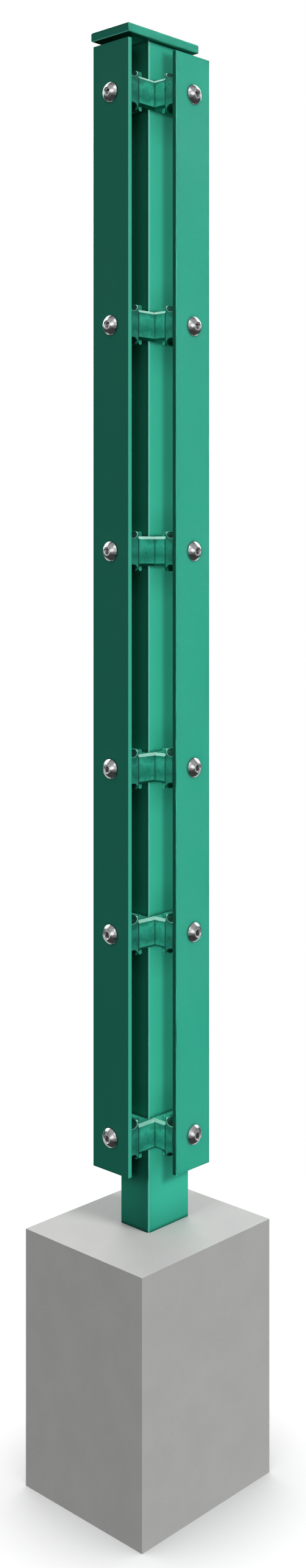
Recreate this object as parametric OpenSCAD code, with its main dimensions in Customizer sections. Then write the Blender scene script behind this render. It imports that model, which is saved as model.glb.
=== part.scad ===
/* [Post tube] */
// Outside size of the tube along X, its wide side
tube_x = 60; // [54:1:80]
// Outside size of the tube along Y, its narrow side
tube_y = 40; // [36:1:60]
// Wall thickness of the tube
tube_wall = 2; // [1.5:0.5:3]
// Outside corner radius of the tube
tube_corner_r = 2.5; // [1.5:0.5:4]
// Length of tube that is cast into the footing
tube_embed = 200; // [100:10:220]

/* [Footing] */
// Size of the concrete footing along X
footing_x = 188; // [170:1:300]
// Size of the concrete footing along Y
footing_y = 163; // [150:1:300]
// Height of the concrete footing
footing_h = 260; // [240:5:500]
// How far the post stands off the footing's middle along X
post_off_x = 13; // [0:1:20]
// How far the post stands off the footing's middle along Y
post_off_y = 3.5; // [0:0.5:10]

/* [Cover bars] */
// Width of each flat bar
bar_w = 50; // [44:1:56]
// Thickness of each flat bar
bar_t = 5; // [3:1:8]
// Radius on the long edges of the bars
bar_edge_r = 1; // [0.5:0.1:1.4]
// Clear distance between the tube and each bar
gap = 29; // [25:1:34]
// Height of the bars' lower ends above the footing
bar_clear = 66; // [20:1:120]
// How far the left bar stands out past the tube's front corner
left_bar_front = 5; // [3:0.5:8]
// How far the right bar starts behind the tube's front corner
right_bar_back = 3.6; // [2.6:0.2:8]
// Length of the left bar above its top screw
left_bar_above = 50; // [35:1:80]
// Length of the right bar above its top screw
right_bar_above = 39; // [30:1:50]

/* [Fixing levels] */
// Height of the lowest screws above the bars' lower ends
first_level = 34; // [25:1:60]
// Distance from the first level up to the second
pitch_1 = 203; // [60:1:250]
// Distance from the second level up to the third
pitch_2 = 165; // [60:1:250]
// Distance from the third level up to the fourth
pitch_3 = 217; // [60:1:250]
// Distance from the fourth level up to the fifth
pitch_4 = 225.5; // [60:0.5:250]
// Distance from the fifth level up to the sixth
pitch_5 = 232.5; // [60:0.5:250]

/* [Wire pads] */
// Diameter of the panel wire that lies between fin and bar
wire_d = 8; // [6:0.5:8]
// Room left beside that wire
wire_clear = 0.2; // [0.1:0.1:0.6]
// Thickness of the fin that stands between the panel's two wires
fin_t = 2.1; // [1.6:0.1:2.8]
// Half height of the fin over the pad's middle
fin_h = 20; // [18:0.5:21]
// Radius of the fin's upper corners, seen from the side
fin_nose_r = 5; // [2:0.5:6]
// Half height of the pad's body
body_h = 14.8; // [14:0.2:16]
// Half height of the pad at the lowest point of the wire seat
seat_floor = 12.9; // [12:0.1:13.5]
// Radius that joins the fin to the body on the post's side
fin_fillet = 3.5; // [1:0.5:4]
// Size of the bevel along the body's upper and lower end edges
end_bevel = 2.6; // [1:0.1:3]
// Distance from the fin to the rib beside it
rib_gap = 2.1; // [1.5:0.1:3]
// Thickness of that rib
rib_t = 4; // [3:0.1:5]
// Half height of that rib
rib_h = 19.6; // [18:0.1:20]
// Radius on the rib's long edges
rib_edge_r = 1.5; // [0.5:0.1:1.5]
// Width of the groove down each end face, beside the fin
groove_w = 1.5; // [1:0.1:1.6]
// Depth of that groove
groove_d = 1.2; // [0.6:0.1:2]
// Seam left between the two pads where they meet at the corner
pad_seam = 0.1; // [0.1:0.1:0.5]

/* [Screws] */
// Shank diameter of the screws
screw_d = 10; // [8:0.5:10]
// Diameter of the screw heads
head_d = 19.5; // [17:0.5:22]
// Height of the screw heads
head_h = 5.5; // [4.5:0.1:6.5]
// Height of the straight rim under the dome
head_rim_h = 1.2; // [0.4:0.1:1.6]
// Diameter of the flat on top of the dome
head_flat_d = 9.1; // [8.6:0.1:10]
// Hex socket, measured across its flats
socket_af = 6; // [5:0.5:6]
// Depth of the hex socket
socket_depth = 3.6; // [2:0.1:4]
// Diameter of the bevelled mouth round the socket
socket_mouth_d = 8.4; // [7.4:0.1:8.4]
// Depth of that bevel
socket_bevel = 0.7; // [0.4:0.1:1]
// Radial room round each shank in its bar and pad
hole_clear = 0.5; // [0.2:0.1:1]

/* [Rivet nuts] */
// Diameter of the nuts' flanges
nut_flange_d = 17; // [16:0.5:20]
// Thickness of the nuts' flanges
nut_flange_t = 1.2; // [0.8:0.1:2]
// Diameter of the nuts' bodies
nut_body_d = 13; // [12:0.5:14]
// Diameter of the bulge that is crimped behind the tube's wall
nut_bulge_d = 16.5; // [15:0.5:18]
// Length of that bulge
nut_bulge_l = 4; // [2:0.5:6]
// How far the nuts and screws reach in from the tube's face
nut_reach = 16; // [12:0.5:17]
// Radial room between thread and nut
thread_clear = 0.05; // [0.02:0.01:0.1]
// Radial room between a nut's body and the tube's wall
nut_clear = 0.1; // [0.05:0.05:0.3]
// Room round each nut's flange in the pad
flange_clear = 0.4; // [0.2:0.1:1]

/* [Cap] */
// Thickness of the cap's plate
cap_t = 9.5; // [8:0.5:14]
// Gap between the left bar's top end and the cap
cap_gap = 5.5; // [2:0.5:15]
// How far the cap stands out past the left bar
cap_past_bar = 0.5; // [0.5:0.5:4]
// How far the cap stands out past the tube's right side
cap_right = 8.5; // [5:0.5:15]
// How far the cap stands out past the tube's rear side
cap_rear = 7; // [5:0.5:15]
// Radius on the plate's upper edge
cap_top_r = 2.5; // [1:0.5:3]
// Radius on the plate's lower edge
cap_bottom_r = 1.2; // [0.5:0.1:4]
// Length of the plug below the plate
plug_l = 22; // [10:1:26]
// Wall thickness of the plug
plug_wall = 2; // [1.5:0.5:3]
// Room between the plug and the tube
plug_clear = 0.8; // [0.5:0.1:1.2]
// Number of grip ribs round the plug
plug_ribs = 3; // [1:1:4]
// Height of each grip rib
plug_rib_h = 1.4; // [1:0.1:2]
// Room between a grip rib and the tube
rib_clear = 0.05; // [0.05:0.05:0.2]

/* [Hidden] */
$fn = 48;

// Colours
paint_green = [0.24, 0.66, 0.55];
pad_green = [0.18, 0.56, 0.45];
steel_grey = [0.78, 0.79, 0.80];
zinc_grey = [0.70, 0.70, 0.66];
concrete_grey = [0.74, 0.74, 0.73];

// The tube's front corner, where its two visible faces meet
corner_x = post_off_x - tube_x / 2;
corner_y = post_off_y - tube_y / 2;

// Heights above the footing's underside
bar_z = footing_h + bar_clear;
levels = [
    bar_z + first_level,
    bar_z + first_level + pitch_1,
    bar_z + first_level + pitch_1 + pitch_2,
    bar_z + first_level + pitch_1 + pitch_2 + pitch_3,
    bar_z + first_level + pitch_1 + pitch_2 + pitch_3 + pitch_4,
    bar_z + first_level + pitch_1 + pitch_2 + pitch_3 + pitch_4 + pitch_5
];
top_level = levels[len(levels) - 1];
left_bar_top = top_level + left_bar_above;
right_bar_top = top_level + right_bar_above;
tube_foot = footing_h - tube_embed;
tube_top = left_bar_top + cap_gap;

// Screw places along the tube's two faces, measured from the front corner
left_screw_at = tube_y / 2;
right_screw_at = tube_x / 2;

// Shape of the pad's section, measured from the bar towards the tube
fin_in = wire_d + wire_clear;
fin_out = fin_in + fin_t;
tip_r = fin_t / 2;
seat_z = fin_h - tip_r;
seat_r = seat_z - seat_floor;
seat_at = fin_in - seat_r;
rib_in = fin_out + rib_gap;
rib_out = rib_in + rib_t;
nose_r = min(fin_nose_r, fin_h - body_h);
lip_reach = right_bar_back - pad_seam;
hole_d = screw_d + 2 * hole_clear;

// Extra length that lets a cut run clear of what it cuts
over = 1;

// Places a left-hand piece: X runs out from the tube's left face, Y back along that face
module on_left_face() {
    translate([corner_x, corner_y, 0]) mirror([1, 0, 0]) children();
}

// Places a right-hand piece: X runs out from the tube's right face, Y back along that face
module on_right_face() {
    translate([corner_x, corner_y, 0]) rotate([0, 0, -90]) children();
}

// Rectangle with round corners, its lower left corner at the origin
module rounded_rect(w, h, r) {
    translate([r, 0]) square([w - 2 * r, h]);
    translate([0, r]) square([w, h - 2 * r]);
    for (x = [r, w - r], y = [r, h - r]) translate([x, y]) circle(r = r);
}

// Outline of the tube, grown or shrunk on every side
module tube_outline(grow, r) {
    translate([corner_x - grow, corner_y - grow])
        rounded_rect(tube_x + 2 * grow, tube_y + 2 * grow, r);
}

// Cross-section of the tube's wall
module tube_section() {
    difference() {
        tube_outline(0, tube_corner_r);
        tube_outline(-tube_wall, max(tube_corner_r - tube_wall, 0.5));
    }
}

// Cylinder along X, starting at x
module rod_x(x, length, d) {
    translate([x, 0, 0]) rotate([0, 90, 0]) cylinder(d = d, h = length);
}

// Concrete block, with concrete inside the tube's lower end as well
module concrete_footing() {
    color(concrete_grey) difference() {
        translate([-footing_x / 2, -footing_y / 2, 0]) cube([footing_x, footing_y, footing_h]);
        translate([0, 0, tube_foot]) linear_extrude(tube_embed + over) tube_section();
    }
}

// Holes through one wall of the tube, one at each level
module wall_holes(at) {
    for (z = levels)
        translate([0, at, z])
            rod_x(-tube_wall - over, tube_wall + 2 * over, nut_body_d + 2 * nut_clear);
}

module post_tube() {
    color(paint_green) difference() {
        translate([0, 0, tube_foot]) linear_extrude(tube_top - tube_foot) tube_section();
        on_left_face() wall_holes(left_screw_at);
        on_right_face() wall_holes(right_screw_at);
    }
}

// Upright section of the cap's plate, with one radius above and another below
module plate_section(w) {
    translate([cap_bottom_r, 0]) square([w - 2 * cap_bottom_r, cap_t - cap_top_r]);
    translate([0, cap_bottom_r]) square([w, cap_t - cap_bottom_r - cap_top_r]);
    translate([cap_top_r, cap_bottom_r])
        square([w - 2 * cap_top_r, cap_t - cap_bottom_r]);
    for (x = [cap_bottom_r, w - cap_bottom_r])
        translate([x, cap_bottom_r]) circle(r = cap_bottom_r);
    for (x = [cap_top_r, w - cap_top_r])
        translate([x, cap_t - cap_top_r]) circle(r = cap_top_r);
}

// Plate whose four sides have rounded edges that meet in sharp mitred corners
module cap_plate() {
    plate_x = cap_past_bar + bar_t + gap + tube_x + cap_right;
    plate_y = cap_past_bar + left_bar_front + tube_y + cap_rear;
    translate([
        corner_x - gap - bar_t - cap_past_bar,
        corner_y - left_bar_front - cap_past_bar,
        tube_top
    ]) intersection() {
        translate([0, plate_y, 0]) rotate([90, 0, 0]) linear_extrude(plate_y) plate_section(plate_x);
        rotate([90, 0, 90]) linear_extrude(plate_x) plate_section(plate_y);
    }
}

// Hollow plug with grip ribs that bear on the tube's inner wall
module cap_plug() {
    inset = tube_wall + plug_clear;
    translate([0, 0, tube_top - plug_l]) difference() {
        union() {
            linear_extrude(plug_l + cap_bottom_r) tube_outline(-inset, 1);
            for (i = [1:plug_ribs])
                translate([0, 0, plug_l * i / (plug_ribs + 1) - plug_rib_h / 2])
                    linear_extrude(plug_rib_h) tube_outline(-tube_wall - rib_clear, 1);
        }
        translate([0, 0, -over]) linear_extrude(plug_l + over) tube_outline(-inset - plug_wall, 1);
    }
}

module post_cap() {
    color(paint_green) {
        cap_plate();
        cap_plug();
    }
}

// Flat bar with clearance holes: front is where it starts along its face
module cover_bar(front, top, screw_at) {
    color(paint_green) difference() {
        translate([gap, front, bar_z]) linear_extrude(top - bar_z) rounded_rect(bar_t, bar_w, bar_edge_r);
        for (z = levels) translate([0, screw_at, z]) rod_x(gap - over, bar_t + 2 * over, hole_d);
    }
}

module left_bar() {
    on_left_face() cover_bar(-left_bar_front, left_bar_top, left_screw_at);
}

module right_bar() {
    on_right_face() cover_bar(right_bar_back, right_bar_top, right_screw_at);
}

// Upper half of the pad's section: X runs from the bar to the tube, Y up from the middle
module half_section() {
    difference() {
        union() {
            square([gap, body_h]);
            square([fin_out, seat_z]);
            translate([fin_in + tip_r, seat_z]) circle(r = tip_r);
            translate([fin_out, body_h - over]) square([fin_fillet, fin_fillet + over]);
        }
        translate([seat_at, seat_z]) circle(r = seat_r);
        translate([fin_out + fin_fillet, body_h + fin_fillet]) circle(r = fin_fillet);
    }
}

// Turns the section upright, with X running out from the tube and Y along its face
module pad_solid(front, length, upper, lower) {
    translate([gap, front + length, 0]) rotate([90, 0, 0]) linear_extrude(length) mirror([1, 0]) {
        if (upper) children();
        if (lower) mirror([0, 1]) children();
    }
}

// Ridges of the body and the fins, with round noses on the fins
module pad_body(front) {
    intersection() {
        pad_solid(front, bar_w, true, true) half_section();
        translate([-over, front, 0]) rotate([90, 0, 90]) linear_extrude(gap + 2 * over)
            translate([0, -fin_h]) rounded_rect(bar_w, 2 * fin_h, nose_r);
    }
}

// Rib beside the fin, set back from both ends by the bevel
module pad_rib(front) {
    pad_solid(front + end_bevel, bar_w - 2 * end_bevel, true, true)
        translate([rib_in, body_h / 2]) rounded_rect(rib_t, rib_h - body_h / 2, rib_edge_r);
}

// Wedge that bevels the edge between the end face at Y = 0 and the pad's top
module bevel_cut() {
    reach = fin_h + over;
    edge = body_h - end_bevel;
    translate([-lip_reach - over, 0, 0]) rotate([90, 0, 90])
        linear_extrude(lip_reach + over + gap - fin_out)
        polygon([[-over, edge - over], [reach - edge, reach], [-over, reach]]);
}

// What is cut from one end of the pad, whose face lies at Y = 0
module end_cuts() {
    bevel_cut();
    mirror([0, 0, 1]) bevel_cut();
    translate([gap - fin_out, -over, -fin_h - over])
        cube([groove_w, groove_d + over, 2 * (fin_h + over)]);
}

// Moulded pad between tube and bar: lip is how far it wraps round the tube's front corner
module wire_pad(front, screw_at, lip) {
    color(pad_green) {
        difference() {
            union() {
                pad_body(front);
                if (lip > 0)
                    translate([-lip, front, -body_h]) cube([lip + over, -front, 2 * body_h]);
            }
            translate([0, front, 0]) end_cuts();
            translate([0, front + bar_w, 0]) mirror([0, 1, 0]) end_cuts();
            translate([0, screw_at, 0]) {
                rod_x(-over, gap + 2 * over, hole_d);
                rod_x(-over, nut_flange_t + flange_clear + over, nut_flange_d + 2 * flange_clear);
            }
        }
        pad_rib(front);
    }
}

module left_pad(i) {
    translate([0, 0, levels[i - 1]]) on_left_face() wire_pad(-left_bar_front, left_screw_at, lip_reach);
}

module right_pad(i) {
    translate([0, 0, levels[i - 1]]) on_right_face() wire_pad(right_bar_back, right_screw_at, 0);
}

// Button head on the bar's outer face, with a dome that is part of a sphere
module screw_head() {
    rim_r = head_d / 2;
    flat_r = head_flat_d / 2;
    rise = head_h - head_rim_h;
    ball_at = (flat_r * flat_r + head_h * head_h - rim_r * rim_r - head_rim_h * head_rim_h) / (2 * rise);
    ball_r = sqrt(rim_r * rim_r + pow(head_rim_h - ball_at, 2));
    difference() {
        intersection() {
            cylinder(d = head_d, h = head_h);
            translate([0, 0, ball_at]) sphere(r = ball_r, $fn = 96);
        }
        translate([0, 0, head_h - socket_depth])
            cylinder(d = socket_af / cos(30), h = socket_depth + over, $fn = 6);
        translate([0, 0, head_h - socket_bevel])
            cylinder(d1 = socket_mouth_d - 2 * socket_bevel, d2 = socket_mouth_d + 2 * over,
                h = socket_bevel + over);
    }
}

// Six screws through one bar, its pads and the nuts in the tube's wall
module bar_screws(screw_at) {
    color(steel_grey) for (z = levels)
        translate([gap + bar_t, screw_at, z]) {
            rotate([0, 90, 0]) screw_head();
            rod_x(-bar_t - gap - nut_reach, bar_t + gap + nut_reach + head_h - socket_depth, screw_d);
        }
}

module left_bar_screws() {
    on_left_face() bar_screws(left_screw_at);
}

module right_bar_screws() {
    on_right_face() bar_screws(right_screw_at);
}

// Rivet nut: flange on the tube's face, body through its wall, crimped bulge behind
module rivet_nut() {
    difference() {
        union() {
            rod_x(0, nut_flange_t, nut_flange_d);
            rod_x(-nut_reach, nut_reach, nut_body_d);
            rod_x(-tube_wall - nut_bulge_l, nut_bulge_l, nut_bulge_d);
        }
        rod_x(-nut_reach - over, nut_reach + nut_flange_t + 2 * over, screw_d + 2 * thread_clear);
    }
}

module rivet_nuts(screw_at) {
    color(zinc_grey) for (z = levels) translate([0, screw_at, z]) rivet_nut();
}

module left_rivet_nuts() {
    on_left_face() rivet_nuts(left_screw_at);
}

module right_rivet_nuts() {
    on_right_face() rivet_nuts(right_screw_at);
}

concrete_footing();
post_tube();
post_cap();
left_bar();
right_bar();
for (i = [1:len(levels)]) left_pad(i);
for (i = [1:len(levels)]) right_pad(i);
left_bar_screws();
right_bar_screws();
left_rivet_nuts();
right_rivet_nuts();
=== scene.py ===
import math

import bpy
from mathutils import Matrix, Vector


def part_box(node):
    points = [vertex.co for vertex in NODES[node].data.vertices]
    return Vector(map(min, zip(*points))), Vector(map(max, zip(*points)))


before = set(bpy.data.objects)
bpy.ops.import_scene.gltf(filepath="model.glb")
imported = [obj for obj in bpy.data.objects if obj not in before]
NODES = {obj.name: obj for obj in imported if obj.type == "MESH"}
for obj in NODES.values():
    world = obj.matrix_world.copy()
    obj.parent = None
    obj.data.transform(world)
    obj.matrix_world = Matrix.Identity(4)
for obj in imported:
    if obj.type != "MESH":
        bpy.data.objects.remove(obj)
scene = bpy.context.scene
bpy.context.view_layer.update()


# Colours, as linear values
PAINT_GREEN = (0.043, 0.482, 0.326, 1)
# Painted highlight on rounded corners and edges
PAINT_HIGHLIGHT = (0.14, 0.62, 0.47, 1)
# Painted shade in the gaps between pieces
PAINT_GAP_SHADE = (0.012, 0.20, 0.135, 1)
PAINT_DUSTY = (0.057, 0.487, 0.340, 1)
# A pad's green in painted shade and in painted light; the painted bands go between the two
PAD_SHADED = (0.018, 0.27, 0.18, 1)
PAD_LIT = (0.060, 0.62, 0.43, 1)
DEEP_SHADOW = (0.005, 0.08, 0.055, 1)
SEAT_SHADOW = (0.001, 0.04, 0.028, 1)
# Painted highlight on the rim of a pad's wire seat
SEAT_RIM_HIGHLIGHT = (0.32, 0.80, 0.66, 1)
STEEL = (0.72, 0.72, 0.73, 1)
STEEL_SMUDGE = (0.62, 0.62, 0.62, 1)
SOCKET_SHADOW = (0.05, 0.05, 0.05, 1)
ZINC = (0.60, 0.60, 0.55, 1)
ZINC_YELLOW = (0.55, 0.53, 0.40, 1)
CONCRETE = (0.545, 0.545, 0.54, 1)
CONCRETE_DARK = (0.48, 0.48, 0.47, 1)
CONCRETE_PALE = (0.58, 0.58, 0.572, 1)
# Painted highlight on the concrete's edges
CONCRETE_EDGE_HIGHLIGHT = (0.68, 0.68, 0.67, 1)
FLOOR_WHITE = (0.9, 0.9, 0.9, 1)
WHITE = (1, 1, 1, 1)

# Painted shading of a pad, as light and dark bands up it: (share of its height, level)
PAD_SHADING_BANDS = ((0.08, 1.0), (0.22, 0.9), (0.36, 0.15), (0.5, 0.6), (0.64, 1.0), (0.8, 0.1), (0.95, 0.3))

PAD_LEVELS = range(1, 7)


def new_group(name, inputs, outputs):
    """A shader node group with these inputs, as name=default, and outputs; also its two end nodes."""
    group = bpy.data.node_groups.new(name, "ShaderNodeTree")
    kind = "NodeSocketFloat"
    for label, value in inputs.items():
        group.interface.new_socket(name=label, in_out="INPUT", socket_type=kind).default_value = value
    for label in outputs:
        group.interface.new_socket(name=label, in_out="OUTPUT", socket_type=kind)
    return group, group.nodes.new("NodeGroupInput"), group.nodes.new("NodeGroupOutput")


def add(tree, kind, **values):
    """Adds one node; values set its properties, or its inputs where the key names one."""
    node = tree.nodes.new("ShaderNode" + kind)
    for key, value in values.items():
        if hasattr(node, key):
            setattr(node, key, value)
        else:
            label = key.replace("_", " ").lower()
            socket = next(s for s in node.inputs if s.name.lower() == label and s.enabled)
            socket.default_value = value
    return node


def scaled_mask(group, start, end, value, none, full):
    """Puts out a mask times Strength: 0 where value is at none and 1 where it is at full."""
    mask = add(group, "MapRange", To_Min=0.0, To_Max=1.0)
    scale = add(group, "Math", operation="MULTIPLY")
    link = group.links.new
    for bound, socket in ((none, mask.inputs["From Min"]), (full, mask.inputs["From Max"])):
        if isinstance(bound, float):
            socket.default_value = bound
        else:
            link(bound, socket)
    link(value, mask.inputs["Value"])
    link(mask.outputs["Result"], scale.inputs[0])
    link(start.outputs["Strength"], scale.inputs[1])
    link(scale.outputs["Value"], end.inputs["Mask"])
    return scale.outputs["Value"]


def mottle_group():
    """Soft patches and fine specks in the object's own space, both from 0 to 1."""
    group, start, end = new_group(
        "mottle", {"Patch Scale": 20.0, "Speck Scale": 900.0, "Detail": 3.0}, ["Patches", "Specks"]
    )
    place = add(group, "TexCoord")
    patches = add(group, "TexNoise")
    specks = add(group, "TexNoise", Detail=1.0)
    link = group.links.new
    link(place.outputs["Object"], patches.inputs["Vector"])
    link(place.outputs["Object"], specks.inputs["Vector"])
    link(start.outputs["Patch Scale"], patches.inputs["Scale"])
    link(start.outputs["Detail"], patches.inputs["Detail"])
    link(start.outputs["Speck Scale"], specks.inputs["Scale"])
    link(patches.outputs["Fac"], end.inputs["Patches"])
    link(specks.outputs["Fac"], end.inputs["Specks"])
    return group


def corner_group():
    """Masks of the rounded corners, 1 where one is turned half way. Lower has only those facing down."""
    flat, half_turned = 0.97, 0.75
    level, facing_down = -0.05, -0.15
    group, start, end = new_group("corner_mask", {"Strength": 1.0}, ["Mask", "Lower"])
    place = add(group, "TexCoord")
    facing = add(group, "SeparateXYZ")
    size = add(group, "VectorMath", operation="ABSOLUTE")
    split = add(group, "SeparateXYZ")
    upright = add(group, "Math", operation="MAXIMUM")
    largest = add(group, "Math", operation="MAXIMUM")
    down = add(group, "MapRange", From_Min=level, From_Max=facing_down, To_Min=0.0, To_Max=1.0)
    lower = add(group, "Math", operation="MULTIPLY")
    link = group.links.new
    link(place.outputs["Normal"], size.inputs[0])
    link(size.outputs["Vector"], split.inputs["Vector"])
    link(split.outputs["X"], upright.inputs[0])
    link(split.outputs["Y"], upright.inputs[1])
    link(upright.outputs["Value"], largest.inputs[0])
    link(split.outputs["Z"], largest.inputs[1])
    mask = scaled_mask(group, start, end, largest.outputs["Value"], flat, half_turned)
    link(place.outputs["Normal"], facing.inputs["Vector"])
    link(facing.outputs["Z"], down.inputs["Value"])
    link(mask, lower.inputs[0])
    link(down.outputs["Result"], lower.inputs[1])
    link(lower.outputs["Value"], end.inputs["Lower"])
    return group


def edge_group():
    """Mask of the sharp edges: 1 on an edge and 0 on a flat face."""
    edge_width = 0.0009
    flat, on_edge = 0.998, 0.90
    group, start, end = new_group("edge_mask", {"Strength": 1.0}, ["Mask"])
    here = add(group, "NewGeometry")
    rounded = add(group, "Bevel", samples=8, Radius=edge_width)
    dot = add(group, "VectorMath", operation="DOT_PRODUCT")
    group.links.new(here.outputs["Normal"], dot.inputs[0])
    group.links.new(rounded.outputs["Normal"], dot.inputs[1])
    scaled_mask(group, start, end, dot.outputs["Value"], flat, on_edge)
    return group


def recess_group():
    """Mask of the places that other surfaces close in: 0 in the open and 1 deep in a gap."""
    group, start, end = new_group(
        "recess_mask", {"Strength": 1.0, "Reach": 0.03, "Open": 0.95, "Shut": 0.35}, ["Mask"]
    )
    closed = add(group, "AmbientOcclusion", samples=8)
    group.links.new(start.outputs["Reach"], closed.inputs["Distance"])
    scaled_mask(group, start, end, closed.outputs["AO"], start.outputs["Open"], start.outputs["Shut"])
    return group


MOTTLE = mottle_group()
EDGES = edge_group()
CORNERS = corner_group()
RECESS = recess_group()


class Finish:
    """One material: its tree, its shader, and the nodes that are wired to it."""

    def __init__(self, name, **values):
        self.material = bpy.data.materials.new(name)
        self.material.use_nodes = True
        self.tree = self.material.node_tree
        self.shader = self.tree.nodes["Principled BSDF"]
        for key, value in values.items():
            self.shader.inputs[key.replace("_", " ")].default_value = value

    def add(self, kind, **values):
        return add(self.tree, kind, **values)

    def link(self, a, b):
        self.tree.links.new(a, b)

    def group(self, tree, **values):
        """Places a shader node group with its own values."""
        node = self.tree.nodes.new("ShaderNodeGroup")
        node.node_tree = tree
        for key, value in values.items():
            node.inputs[key.replace("_", " ")].default_value = value
        return node

    def mask(self, tree, output="Mask", **values):
        return self.group(tree, **values).outputs[output]

    def mottle(self, **values):
        """Patches and specks at this material's scales."""
        node = self.group(MOTTLE, **values)
        return node.outputs["Patches"], node.outputs["Specks"]

    def mix(self, factor, a, b):
        """Colour between a and b, each a colour or a socket."""
        node = self.add("Mix", data_type="RGBA")
        self.link(factor, node.inputs["Factor"])
        for value, label in ((a, "A"), (b, "B")):
            socket = next(s for s in node.inputs if s.name == label and s.type == "RGBA")
            if isinstance(value, tuple):
                socket.default_value = value
            else:
                self.link(value, socket)
        return next(s for s in node.outputs if s.type == "RGBA")

    def ramp(self, value, low, high, start=0.0, stop=1.0):
        """Goes from start, where value is low, to stop, where it is high."""
        node = self.add("MapRange", From_Min=low, From_Max=high, To_Min=start, To_Max=stop)
        self.link(value, node.inputs["Value"])
        return node.outputs["Result"]

    def vary(self, noise, low, high):
        """Follows a noise from low to high, over the levels that most of it has."""
        return self.ramp(noise, 0.3, 0.7, low, high)

    def calculate(self, operation, *values):
        node = self.add("Math", operation=operation)
        for value, socket in zip(values, node.inputs):
            self.link(value, socket)
        return node.outputs["Value"]

    def split(self, vector):
        node = self.add("SeparateXYZ")
        self.link(vector, node.inputs["Vector"])
        return node.outputs

    def finish(self, colour, roughness, bumps, strength, distance):
        """Wires colour and roughness to the shader, and bumps with their strength and depth in metres."""
        bump = self.add("Bump", Strength=strength, Distance=distance)
        self.link(colour, self.shader.inputs["Base Color"])
        self.link(roughness, self.shader.inputs["Roughness"])
        self.link(bumps, bump.inputs["Height"])
        self.link(bump.outputs["Normal"], self.shader.inputs["Normal"])
        return self.material


def powder_coat(name, highlit_corners="Mask", corner_strength=0.62, edge_strength=0.0):
    """Satin powder coat: fine orange peel, faint clouding, thin painted highlights on the rounded corners,
    painted shade in gaps and a thin painted shadow where pieces meet.

    highlit_corners: which output of the corner mask gets the painted highlight.
    """
    f = Finish(name, Specular_IOR_Level=0.3)
    patches, specks = f.mottle(Patch_Scale=9.0, Speck_Scale=700.0, Detail=4.0)
    # Painted shade deep in gaps, and a thin painted shadow where pieces touch
    gap_shade = f.mask(RECESS, Strength=0.8, Reach=0.035)
    contact_shade = f.mask(RECESS, Strength=0.85, Reach=0.005, Open=0.9, Shut=0.62)
    # Painted highlight on the rounded corners
    corners = f.mask(CORNERS, highlit_corners, Strength=corner_strength)
    clouded = f.mix(f.ramp(patches, 0.42, 0.72, 0.0, 0.5), PAINT_GREEN, PAINT_DUSTY)
    shaded = f.mix(gap_shade, clouded, PAINT_GAP_SHADE)
    lined = f.mix(contact_shade, shaded, DEEP_SHADOW)
    colour = f.mix(corners, lined, PAINT_HIGHLIGHT)
    # Painted highlight on the sharp edges, when edge_strength is given
    if edge_strength:
        colour = f.mix(f.mask(EDGES, Strength=edge_strength), colour, PAINT_HIGHLIGHT)
    return f.finish(colour, f.vary(patches, 0.36, 0.46), specks, strength=0.12, distance=0.0004)


def shading_bands(f, height, patches):
    """Painted shading: light and dark bands up a pad's height, made uneven by the patches."""
    uneven = f.calculate("ADD", height, f.vary(patches, -0.10, 0.10))
    bands = f.add("ValToRGB")
    first, *middle, last = PAD_SHADING_BANDS
    stops = bands.color_ramp.elements
    for stop, (at, level) in zip(stops, (first, last)):
        stop.position, stop.color = at, (level, level, level, 1)
    for at, level in middle:
        stops.new(at).color = (level, level, level, 1)
    f.link(uneven, bands.inputs["Fac"])
    return bands.outputs["Color"]


def moulded_pad(name, across, along):
    """Injection-moulded pad with painted shading: light and dark bands up it, uneven in patches; painted
    shade in its grooves, hollows, upper wire seat and on its bar side; painted highlights on its edges and
    the seat's rim.

    across: the axis from bar to tube. along: the axis that the wire seats run along.
    """
    f = Finish(name, Specular_IOR_Level=0.5)
    patches, _ = f.mottle(Patch_Scale=110.0, Speck_Scale=1500.0, Detail=3.0)
    # Painted shade in the pad's narrow grooves and in its wider hollows
    groove_shade = f.mask(RECESS, Strength=1.0, Reach=0.003, Open=0.9, Shut=0.4)
    hollow_shade = f.mask(RECESS, Strength=0.9, Reach=0.02, Open=0.5, Shut=0.2)
    place = f.add("TexCoord")
    share = f.split(place.outputs["Generated"])
    facing = f.split(place.outputs["Normal"])
    # Painted shade in the upper wire seat, and a painted highlight on its rim
    above_seat_floor = f.ramp(share["Z"], 0.80, 0.82)
    before_fin = f.ramp(share[across], 0.29, 0.24)
    seat_zone = f.calculate("MULTIPLY", above_seat_floor, before_fin)
    end_face = f.calculate("ABSOLUTE", facing[along])
    seat = f.calculate("MULTIPLY", seat_zone, f.ramp(end_face, 0.5, 0.3))
    rim_highlight = f.calculate("MULTIPLY", seat_zone, f.mask(EDGES, Strength=1.0))

    # Painted shading: light and dark bands up the pad, uneven in patches
    clouded = f.mix(shading_bands(f, share["Z"], patches), PAD_SHADED, PAD_LIT)
    # Painted shade on the pad's bar side
    dimmed = f.mix(f.ramp(share[across], 0.27, 0.37, 0.42, 0.0), clouded, DEEP_SHADOW)
    hollowed = f.mix(hollow_shade, dimmed, DEEP_SHADOW)
    grooved = f.mix(groove_shade, hollowed, DEEP_SHADOW)
    seated = f.mix(seat, grooved, SEAT_SHADOW)
    # Painted highlights on the pad's sharp edges and on the wire seat's rim
    edged = f.mix(f.mask(EDGES, Strength=0.22), seated, PAINT_HIGHLIGHT)
    colour = f.mix(rim_highlight, edged, SEAT_RIM_HIGHLIGHT)
    return f.finish(colour, f.vary(patches, 0.26, 0.36), patches, strength=0.12, distance=0.001)


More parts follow.
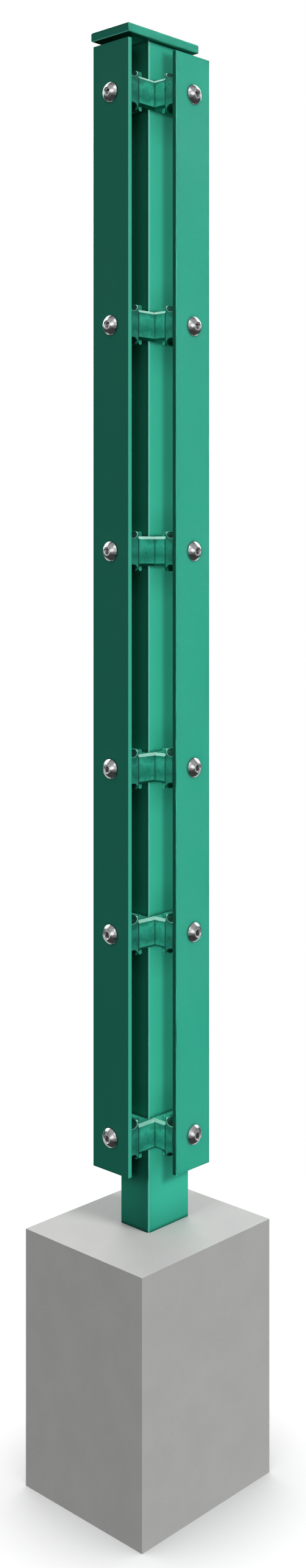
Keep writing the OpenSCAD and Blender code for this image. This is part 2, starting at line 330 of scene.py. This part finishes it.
def polished_steel():
    """Bright stainless steel with faint smudges, painted shade in the sockets."""
    f = Finish("polished_steel", Metallic=1.0)
    patches, specks = f.mottle(Patch_Scale=180.0, Speck_Scale=4000.0, Detail=3.0)
    # Painted shade in the hex sockets
    socket = f.mask(RECESS, Strength=0.9, Reach=0.006, Open=0.5, Shut=0.2)
    smudged = f.mix(f.ramp(patches, 0.35, 0.75), STEEL, STEEL_SMUDGE)
    colour = f.mix(socket, smudged, SOCKET_SHADOW)
    return f.finish(colour, f.vary(patches, 0.16, 0.24), specks, strength=0.05, distance=0.0001)


def zinc_plating():
    """Dull zinc with a slight yellow cast in patches."""
    f = Finish("zinc_plating", Metallic=1.0)
    patches, specks = f.mottle(Patch_Scale=120.0, Speck_Scale=2500.0, Detail=4.0)
    colour = f.mix(f.ramp(patches, 0.35, 0.7), ZINC, ZINC_YELLOW)
    return f.finish(colour, f.vary(specks, 0.35, 0.5), specks, strength=0.1, distance=0.0001)


def cast_concrete():
    """Smooth cast concrete: pale clouds, fine dark grit, painted highlights on the edges."""
    f = Finish("cast_concrete", Specular_IOR_Level=0.3)
    patches, specks = f.mottle(Patch_Scale=30.0, Speck_Scale=600.0, Detail=6.0)
    clouded = f.mix(f.ramp(patches, 0.3, 0.75), CONCRETE, CONCRETE_PALE)
    gritty = f.mix(f.ramp(specks, 0.55, 0.8, 0.0, 0.35), clouded, CONCRETE_DARK)
    # Painted highlight on the sharp edges
    colour = f.mix(f.mask(EDGES, Strength=0.4), gritty, CONCRETE_EDGE_HIGHLIGHT)
    return f.finish(colour, f.vary(specks, 0.75, 0.9), specks, strength=0.25, distance=0.0005)


def dress(name, material):
    """Gives one piece its only material."""
    mesh = NODES[name].data
    mesh.materials.clear()
    mesh.materials.append(material)


def dress_all():
    """Gives every piece its material."""
    painted = powder_coat("powder_coat")
    steel, zinc = polished_steel(), zinc_plating()
    dress("concrete_footing", cast_concrete())
    dress("post_tube", painted)
    # The cap's painted highlight is on its lower rounded edges and on its sharp edges
    dress("post_cap", powder_coat("cap_coat", "Lower", corner_strength=1.0, edge_strength=1.0))
    for side, across, along in (("left", "X", "Y"), ("right", "Y", "X")):
        pad_material = moulded_pad(f"{side}_pad", across, along)
        for number in PAD_LEVELS:
            dress(f"{side}_pad_{number}", pad_material)
        dress(f"{side}_bar", painted)
        dress(f"{side}_bar_screws", steel)
        dress(f"{side}_rivet_nuts", zinc)


def collection_of(name, objects):
    """A set of objects that a light is linked to."""
    linked = bpy.data.collections.new(name)
    for piece in objects:
        linked.objects.link(piece)
    return linked


def studio_light(name, azimuth, elevation, softness, strength, lights, shadows=None):
    """Soft far light from that direction on the pieces in lights. shadows: what casts them, or all.

    Angles are in degrees. Azimuth 0 is in front of the right bar, and -90 in front of the left bar.
    """
    data = bpy.data.lights.new(name, "SUN")
    data.angle = math.radians(softness)
    data.energy = strength * math.pi
    lamp = bpy.data.objects.new(name, data)
    scene.collection.objects.link(lamp)
    a, e = math.radians(azimuth), math.radians(elevation)
    away = Vector((math.sin(a) * math.cos(e), -math.cos(a) * math.cos(e), math.sin(e)))
    lamp.rotation_euler = away.to_track_quat("Z", "Y").to_euler()
    blockers = shadows or list(NODES.values())
    lamp.light_linking.receiver_collection = collection_of(name + "_lights", lights)
    lamp.light_linking.blocker_collection = collection_of(name + "_shadows", blockers)


def flat_card(name, corners):
    """Four-cornered card, linked into the scene."""
    mesh = bpy.data.meshes.new(name)
    mesh.from_pydata(corners, [], [(0, 1, 2, 3)])
    card = bpy.data.objects.new(name, mesh)
    scene.collection.objects.link(card)
    return card


def shadow_card(name, corners):
    """Card that isn't seen: it only casts a shadow."""
    card = flat_card(name, corners)
    card.visible_camera = card.visible_transmission = False
    card.visible_diffuse = card.visible_glossy = False
    return card


def upright_card(name, start, stop, foot, head):
    """Shadow card that stands between two places of the plan."""
    return shadow_card(name, [(*start, foot), (*stop, foot), (*stop, head), (*start, head)])


def pale_floor():
    """Plain pale floor that fades into the white surround, as in a photographer's cove."""
    reach = 60.0
    fade_start, fade_end = 0.12, 1.0
    floor = flat_card("floor", [(x * reach, y * reach, 0) for x, y in ((-1, -1), (1, -1), (1, 1), (-1, 1))])
    f = Finish("pale_floor", Base_Color=FLOOR_WHITE, Roughness=0.9, Specular_IOR_Level=0.05)
    place = f.add("TexCoord")
    length = f.add("VectorMath", operation="LENGTH")
    f.link(place.outputs["Object"], length.inputs[0])
    fade = f.ramp(length.outputs["Value"], fade_start, fade_end)
    glow = f.add("Emission", Strength=1.0)
    seen = f.add("MixShader")
    f.link(fade, seen.inputs["Fac"])
    f.link(f.shader.outputs["BSDF"], seen.inputs[1])
    f.link(glow.outputs["Emission"], seen.inputs[2])
    f.link(seen.outputs["Shader"], f.tree.nodes["Material Output"].inputs["Surface"])
    floor.data.materials.append(f.material)
    floor.visible_diffuse = floor.visible_glossy = False
    return floor


def white_surround():
    """White behind the object; a dim soft light on it, from above and from the sides."""
    dark_below, full_above, brightness = -0.2, 0.7, 0.17
    world = bpy.data.worlds.new("surround")
    scene.world = world
    world.use_nodes = True
    world.cycles.sampling_method = "NONE"
    tree = world.node_tree
    tree.nodes.clear()
    place = add(tree, "TexCoord")
    split = add(tree, "SeparateXYZ")
    height = add(tree, "MapRange", From_Min=dark_below, From_Max=full_above, To_Min=0.0, To_Max=brightness)
    path = add(tree, "LightPath")
    dim = add(tree, "Background")
    white = add(tree, "Background", Strength=1.0)
    white.inputs["Color"].default_value = WHITE
    both = add(tree, "MixShader")
    out = add(tree, "OutputWorld")
    link = tree.links.new
    link(place.outputs["Generated"], split.inputs["Vector"])
    link(split.outputs["Z"], height.inputs["Value"])
    link(height.outputs["Result"], dim.inputs["Strength"])
    link(path.outputs["Is Camera Ray"], both.inputs["Fac"])
    link(dim.outputs["Background"], both.inputs[1])
    link(white.outputs["Background"], both.inputs[2])
    link(both.outputs["Shader"], out.inputs["Surface"])


def main_camera():
    """The photograph's viewpoint, fitted to the edges it shows: a level view with a shifted lens."""
    place, towards = (-1.1917, -1.1398, 0.9434), (0.7246, 0.6892, 0)
    data = bpy.data.cameras.new("camera")
    camera = bpy.data.objects.new("camera", data)
    scene.collection.objects.link(camera)
    camera.location = place
    camera.rotation_euler = Vector(towards).to_track_quat("-Z", "Y").to_euler()
    data.lens = 37.16
    data.sensor_width = 36.0
    data.shift_y = -0.1474
    data.clip_start, data.clip_end = 0.05, 100.0
    scene.camera = camera


dress_all()
floor = pale_floor()
white_surround()

# The pieces that lights are linked to
post = NODES["post_tube"]
cap = NODES["post_cap"]
footing = NODES["concrete_footing"]
left_bar, right_bar = NODES["left_bar"], NODES["right_bar"]
left_pads = [NODES[f"left_pad_{number}"] for number in PAD_LEVELS]
right_pads = [NODES[f"right_pad_{number}"] for number in PAD_LEVELS]
pads = left_pads + right_pads
bars_and_cap = [cap, left_bar, right_bar]
footing.visible_diffuse = footing.visible_glossy = False

# Places that the shadow cards are set by
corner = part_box("post_tube")[0]
left_low, left_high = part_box("left_bar")
right_low, right_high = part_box("right_bar")
under_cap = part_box("post_tube")[1].z
on_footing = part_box("concrete_footing")[1].z
cap_low, cap_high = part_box("post_cap")
left_outside = (left_low.x, left_low.y), (left_low.x, left_high.y)
right_inside = (right_low.x, right_high.y), (right_high.x, right_high.y)
card_gap = 0.0002
shade_below_bars = 0.013
left_foot, right_foot = left_low.z - shade_below_bars, right_low.z - shade_below_bars

# Shade in the gap beside the tube's corner. Below the bars its card stands a little before the corner.
before_corner, beside_corner = 0.006, 0.0035
card_line = corner.y - card_gap
lower_line, lower_end = corner.y - before_corner, corner.x - beside_corner
corner_flag = upright_card(
    "corner_flag", (left_high.x, card_line), (corner.x, card_line), left_foot, under_cap
)
corner_foot_flag = upright_card(
    "corner_foot_flag", (left_high.x, lower_line), (lower_end, lower_line), on_footing, left_low.z
)

# Shade on the tube above and below the bars
left_flag = upright_card("left_flag", *left_outside, left_high.z, under_cap)
right_flag = upright_card("right_flag", *right_inside, right_high.z, under_cap)
left_foot_flag = upright_card("left_foot_flag", *left_outside, left_foot, left_low.z)
right_foot_flag = upright_card("right_foot_flag", *right_inside, right_foot, right_low.z)

# Shade under the cap over the left bar, as far as it is seen past the bar's front edge
cap_edge = 0.0012
cap_start, cap_front = cap_low.x + cap_edge, cap_low.y + cap_edge
cap_depth = cap_high.y - cap_edge - cap_front
cap_flag = shadow_card("cap_flag", [
    (x, y, under_cap - card_gap)
    for x, y in (
        (cap_start, cap_front),
        (left_high.x, cap_front),
        (left_high.x + cap_depth, cap_front + cap_depth),
        (cap_start, cap_front + cap_depth),
    )
])

left_shades = [left_bar, left_flag, left_foot_flag]
corner_shades = [corner_flag, corner_foot_flag]
right_shades = [right_bar, right_flag, right_foot_flag]

# Lights: name, azimuth, elevation, softness, strength, the pieces lit, what casts the shadows
studio_light("key", 12, 25, 14, 0.805, bars_and_cap)
studio_light("side", -90, 10, 30, 0.085, [left_bar])
studio_light("cap_side", -90, -10, 20, 0.03, [cap])
studio_light("cap_edge_light", -135, -60, 20, 0.28, [cap], [cap_flag, left_bar, post])
studio_light("under_cap_light", 0, -90, 40, 0.10, [cap], [cap_flag, left_bar, right_bar, post])
studio_light("post_side", -100, 10, 30, 0.08, [post], [*left_shades, cap])
studio_light("gap_fill", -60, 5, 20, 0.13, [post], left_shades)
studio_light("post_key", -30, 14, 12, 0.57, [post], [left_bar, cap, *corner_shades, *right_shades])
studio_light("post_fill", 5, 24, 34, 0.42, [post], [left_bar, cap, *corner_shades])
studio_light("pad_key", -42, 45, 20, 0.80, pads, [*pads, post, left_bar, right_bar])
studio_light("left_pad_rim", 75, 43, 34, 0.42, left_pads, pads)
studio_light("right_pad_rim", 195, 43, 34, 0.48, right_pads, pads)
studio_light("left_pad_high_rim", 112, 42, 20, 0.06, left_pads, pads)
studio_light("right_pad_high_rim", 158, 42, 20, 0.07, right_pads, pads)
studio_light("footing_key", 10, 30, 20, 0.68, [footing], [post])
studio_light("footing_fill", -90, 20, 20, 0.38, [footing], [post])
studio_light("footing_top", 0, 90, 40, 0.34, [footing], [post])
studio_light("top", 0, 90, 40, 0.6, [left_bar, right_bar], [*pads, footing, post, *bars_and_cap, floor])
studio_light("floor_light", 0, 90, 60, 1.12, [floor], [footing])
studio_light("back", 135, 20, 40, 0.45, [post, footing, cap])
studio_light("left_back", 160, 20, 30, 0.35, [left_bar])
studio_light("right_back", 110, 20, 30, 0.35, [right_bar])

# Reflections in the heads of the left screws: (name, azimuth, elevation, width in degrees, brightness).
# The right heads have the same reflections mirrored.
reflections = [
    ("high_crescent", 165, 30, 50, 1.25),
    ("crescent_tip", -165, 38, 30, 1.2),
    ("low_crescent", 152, -38, 50, 0.55),
    ("spot", -68, 9, 32, 1.0),
    ("streak", -40, 18, 44, 0.4),
    ("streak_fade", -45, 8, 76, 0.2),
    ("arc", -32, 47, 34, 1.15),
    ("haze", -85, 50, 60, 0.2),
    ("flat", -134, 0, 44, 0.6),
    ("room", -110, 15, 100, 0.1),
    ("under", -160, -45, 150, 0.055),
]
for name, azimuth, elevation, width, brightness in reflections:
    strength = brightness * math.sin(math.radians(width / 2)) ** 2
    for side, turned in (("left", azimuth), ("right", -90 - azimuth)):
        heads = [NODES[side + "_bar_screws"]]
        studio_light(f"{side}_{name}", turned, elevation, width, strength, heads, heads)

main_camera()
scene.view_settings.view_transform = "Standard"
